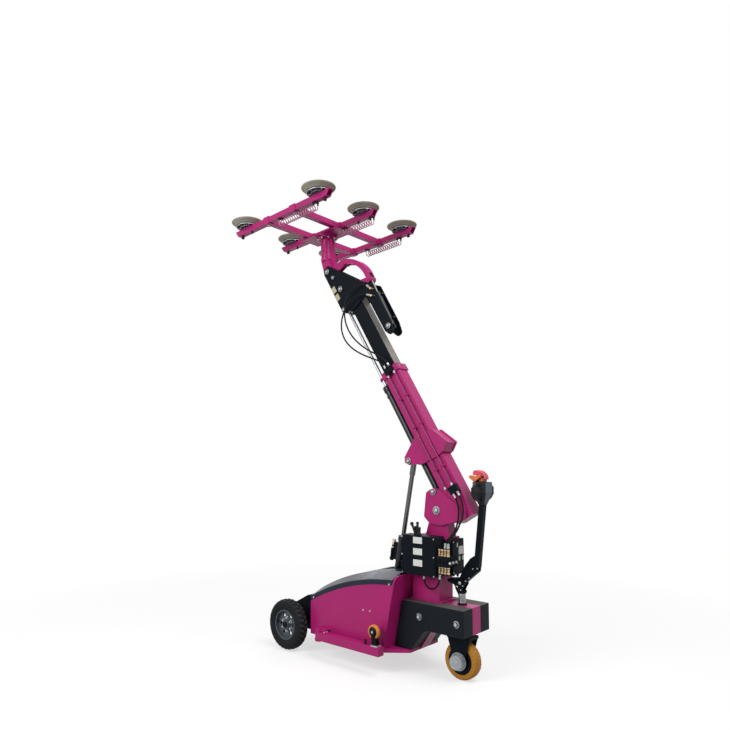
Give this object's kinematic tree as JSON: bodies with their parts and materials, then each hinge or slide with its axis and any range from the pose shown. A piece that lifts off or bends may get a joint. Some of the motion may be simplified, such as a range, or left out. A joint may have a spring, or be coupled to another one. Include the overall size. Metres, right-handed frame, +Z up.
{
  "type": "glass panel lifter",
  "caption": "Pedestrian-guided glazing lifter: wheeled base with steered drive wheel and tiller, telescopic boom and a tilting, slewing vacuum frame with suction pads.",
  "frame": {"origin": "on the ground under the middle of the machine's box", "axes": "+X forward towards the front wheels, +Y to the machine's left, +Z up"},
  "size_m": [2.216, 1.3536, 3.7015],
  "materials": {
    "magenta_paint": "satin",
    "black_paint": "satin",
    "cast_weight": "satin",
    "tyre_rubber": "matte",
    "rim_grey": "satin",
    "tan_tread": "satin",
    "orange_tread": "satin",
    "bright_steel": "brushed",
    "chromed_rod": "polished",
    "alloy": "satin",
    "black_plastic": "matte",
    "grey_plastic": "matte",
    "orange_plastic": "gloss",
    "red_plastic": "gloss",
    "hose_rubber": "matte",
    "pad_rubber": "matte",
    "white_hose": "satin"
  },
  "bodies": {
    "base": {"chassis_frame": "magenta_paint", "hood": "black_paint", "left_side_panel": "magenta_paint", "right_side_panel": "magenta_paint", "front_axle_bracket": "black_paint", "left_counterweight": "cast_weight", "right_counterweight": "cast_weight", "mast_column": "magenta_paint", "control_box": "black_paint", "valve_block": "bright_steel", "electrical_box": "black_plastic", "battery_pack": "black_plastic", "hydraulic_power_pack": "black_paint", "vacuum_pump_unit": "alloy", "stabiliser_hinges": "magenta_paint", "base_hoses": "hose_rubber"},
    "left_wheel": {"left_front_tyre": "tyre_rubber", "left_front_rim": "rim_grey"},
    "right_wheel": {"right_front_tyre": "tyre_rubber", "right_front_rim": "rim_grey"},
    "steering": {"steering_fork": "black_paint", "hub_motor": "bright_steel", "steering_shaft": "bright_steel"},
    "drive_wheel": {"drive_wheel_core": "black_paint", "drive_tyre": "tan_tread"},
    "tiller": {"tiller_arm": "black_paint", "tiller_head": "grey_plastic"},
    "throttle": {"throttle_butterfly": "orange_plastic"},
    "reverse": {"reverse_button": "red_plastic"},
    "boom": {"outer_boom": "magenta_paint", "lift_saddle": "magenta_paint", "boom_base_plates": "magenta_paint", "extension_barrel": "black_paint", "boom_plumbing": "bright_steel", "head_hoses": "hose_rubber"},
    "slide_boom": {"inner_boom": "black_paint", "head_plates": "black_paint", "extension_rod": "chromed_rod"},
    "luff_rod": {"luff_rod": "chromed_rod"},
    "luff_barrel": {"luff_barrel": "black_paint"},
    "yoke": {"tilt_yoke": "magenta_paint"},
    "arch": {"arch_link": "magenta_paint"},
    "rocker": {"tilt_rocker": "magenta_paint"},
    "tilt_rod": {"tilt_rod": "chromed_rod"},
    "tilt_barrel": {"tilt_barrel": "black_paint"},
    "frame": {"hub_plate": "magenta_paint", "cross_beams": "magenta_paint", "frame_arms": "magenta_paint", "pad_plates": "alloy", "pad_lips": "pad_rubber", "vacuum_hoses": "white_hose"},
    "left_stabiliser": {"left_stabiliser_arm": "magenta_paint"},
    "left_carrier": {"left_castor_carrier": "magenta_paint"},
    "left_castor_fork": {"left_castor_fork": "bright_steel"},
    "left_castor_wheel": {"left_castor_wheel": "orange_tread"},
    "right_stabiliser": {"right_stabiliser_arm": "magenta_paint"},
    "right_carrier": {"right_castor_carrier": "magenta_paint"},
    "right_castor_fork": {"right_castor_fork": "bright_steel"},
    "right_castor_wheel": {"right_castor_wheel": "orange_tread"}
  },
  "joints": [
    {"name": "left_wheel_spin", "type": "hinge", "parent": "base", "child": "left_wheel", "pos_m": [0.56596, 0.36, 0.2], "axis": [0, 1, 0], "continuous": true},
    {"name": "right_wheel_spin", "type": "hinge", "parent": "base", "child": "right_wheel", "pos_m": [0.56596, -0.36, 0.2], "axis": [0, 1, 0], "continuous": true},
    {"name": "steering", "type": "hinge", "parent": "base", "child": "steering", "pos_m": [-0.87704, 0, 0.329], "axis": [0, 0, 1], "range_deg": [-50, 50]},
    {"name": "drive_spin", "type": "hinge", "parent": "steering", "child": "drive_wheel", "pos_m": [-0.87704, 0, 0.133], "axis": [0, 1, 0], "continuous": true},
    {"name": "tiller_tilt", "type": "hinge", "parent": "steering", "child": "tiller", "pos_m": [-0.88204, 0, 0.668], "axis": [0, 1, 0], "range_deg": [-60, 0], "stiffness_Nm_per_rad": 60, "springref_deg": 28.65},
    {"name": "throttle_turn", "type": "hinge", "parent": "tiller", "child": "throttle", "pos_m": [-1.02804, 0, 1.405], "axis": [0, 1, 0], "range_deg": [-20, 20], "stiffness_Nm_per_rad": 0.8},
    {"name": "reverse_press", "type": "slide", "parent": "tiller", "child": "reverse", "axis": [0, 0, -1], "range_m": [0, 0.006], "stiffness_N_per_m": 600, "springref_m": -0.01},
    {"name": "luff", "type": "hinge", "parent": "base", "child": "boom", "pos_m": [-0.71404, 0, 1.17], "axis": [0, 1, 0], "range_deg": [0, 55]},
    {"name": "telescope", "type": "slide", "parent": "boom", "child": "slide_boom", "axis": [0.5195, 0, 0.8545], "range_m": [-0.63, 0]},
    {"name": "luff_rod_swing", "type": "hinge", "parent": "boom", "child": "luff_rod", "pos_m": [-0.46034, 0, 1.52952], "axis": [0, 1, 0], "range_deg": [-44.88, 0]},
    {"name": "luff_barrel_slide", "type": "slide", "parent": "luff_rod", "child": "luff_barrel", "axis": [0.1881, 0, -0.9822], "range_m": [-0.37071, 0]},
    {"name": "tilt", "type": "hinge", "parent": "slide_boom", "child": "yoke", "pos_m": [0.43986, 0, 3.19295], "axis": [0, 1, 0], "range_deg": [0, 80]},
    {"name": "arch_swing", "type": "hinge", "parent": "yoke", "child": "arch", "pos_m": [0.27181, 0, 3.25533], "axis": [0, 1, 0], "range_deg": [-63.16, 0]},
    {"name": "rocker_swing", "type": "hinge", "parent": "slide_boom", "child": "rocker", "pos_m": [0.27739, 0, 3.00851], "axis": [0, 1, 0], "range_deg": [0, 55]},
    {"name": "tilt_rod_swing", "type": "hinge", "parent": "rocker", "child": "tilt_rod", "pos_m": [-0.02044, 0, 3.04799], "axis": [0, 1, 0], "range_deg": [-55.35, 0]},
    {"name": "tilt_barrel_slide", "type": "slide", "parent": "tilt_rod", "child": "tilt_barrel", "axis": [-0.4742, 0, -0.8804], "range_m": [0, 0.28123]},
    {"name": "slew", "type": "hinge", "parent": "yoke", "child": "frame", "pos_m": [0.51011, 0, 3.53238], "axis": [0.0593, 0, 0.9982], "continuous": true},
    {"name": "left_stabiliser_swing", "type": "hinge", "parent": "base", "child": "left_stabiliser", "pos_m": [0.19596, 0.372, 0.18], "axis": [0, 0, 1], "range_deg": [-90, 0]},
    {"name": "left_castor_roll", "type": "hinge", "parent": "left_stabiliser", "child": "left_carrier", "pos_m": [-0.33404, 0.372, 0.18], "axis": [1, 0, 0], "range_deg": [-180, 0]},
    {"name": "left_castor_swivel", "type": "hinge", "parent": "left_carrier", "child": "left_castor_fork", "pos_m": [-0.38304, 0.372, 0.21], "axis": [0, 0, 1], "continuous": true},
    {"name": "left_castor_spin", "type": "hinge", "parent": "left_castor_fork", "child": "left_castor_wheel", "pos_m": [-0.36704, 0.372, 0.308], "axis": [0, 1, 0], "continuous": true},
    {"name": "right_stabiliser_swing", "type": "hinge", "parent": "base", "child": "right_stabiliser", "pos_m": [0.19596, -0.372, 0.18], "axis": [0, 0, 1], "range_deg": [0, 90]},
    {"name": "right_castor_roll", "type": "hinge", "parent": "right_stabiliser", "child": "right_carrier", "pos_m": [-0.33404, -0.372, 0.18], "axis": [1, 0, 0], "range_deg": [0, 180]},
    {"name": "right_castor_swivel", "type": "hinge", "parent": "right_carrier", "child": "right_castor_fork", "pos_m": [-0.38304, -0.372, 0.21], "axis": [0, 0, 1], "continuous": true},
    {"name": "right_castor_spin", "type": "hinge", "parent": "right_castor_fork", "child": "right_castor_wheel", "pos_m": [-0.36704, -0.372, 0.308], "axis": [0, 1, 0], "continuous": true}
  ],
  "couplings": [
    {"joint": "luff_rod_swing", "follows": "luff", "ratio": -0.80798},
    {"joint": "luff_barrel_slide", "follows": "luff", "m_per_rad": -0.38236},
    {"joint": "arch_swing", "follows": "tilt", "ratio": -0.78168},
    {"joint": "rocker_swing", "follows": "tilt", "ratio": 0.68073},
    {"joint": "tilt_rod_swing", "follows": "tilt", "ratio": -0.68502},
    {"joint": "tilt_barrel_slide", "follows": "tilt", "m_per_rad": 0.19942}
  ]
}
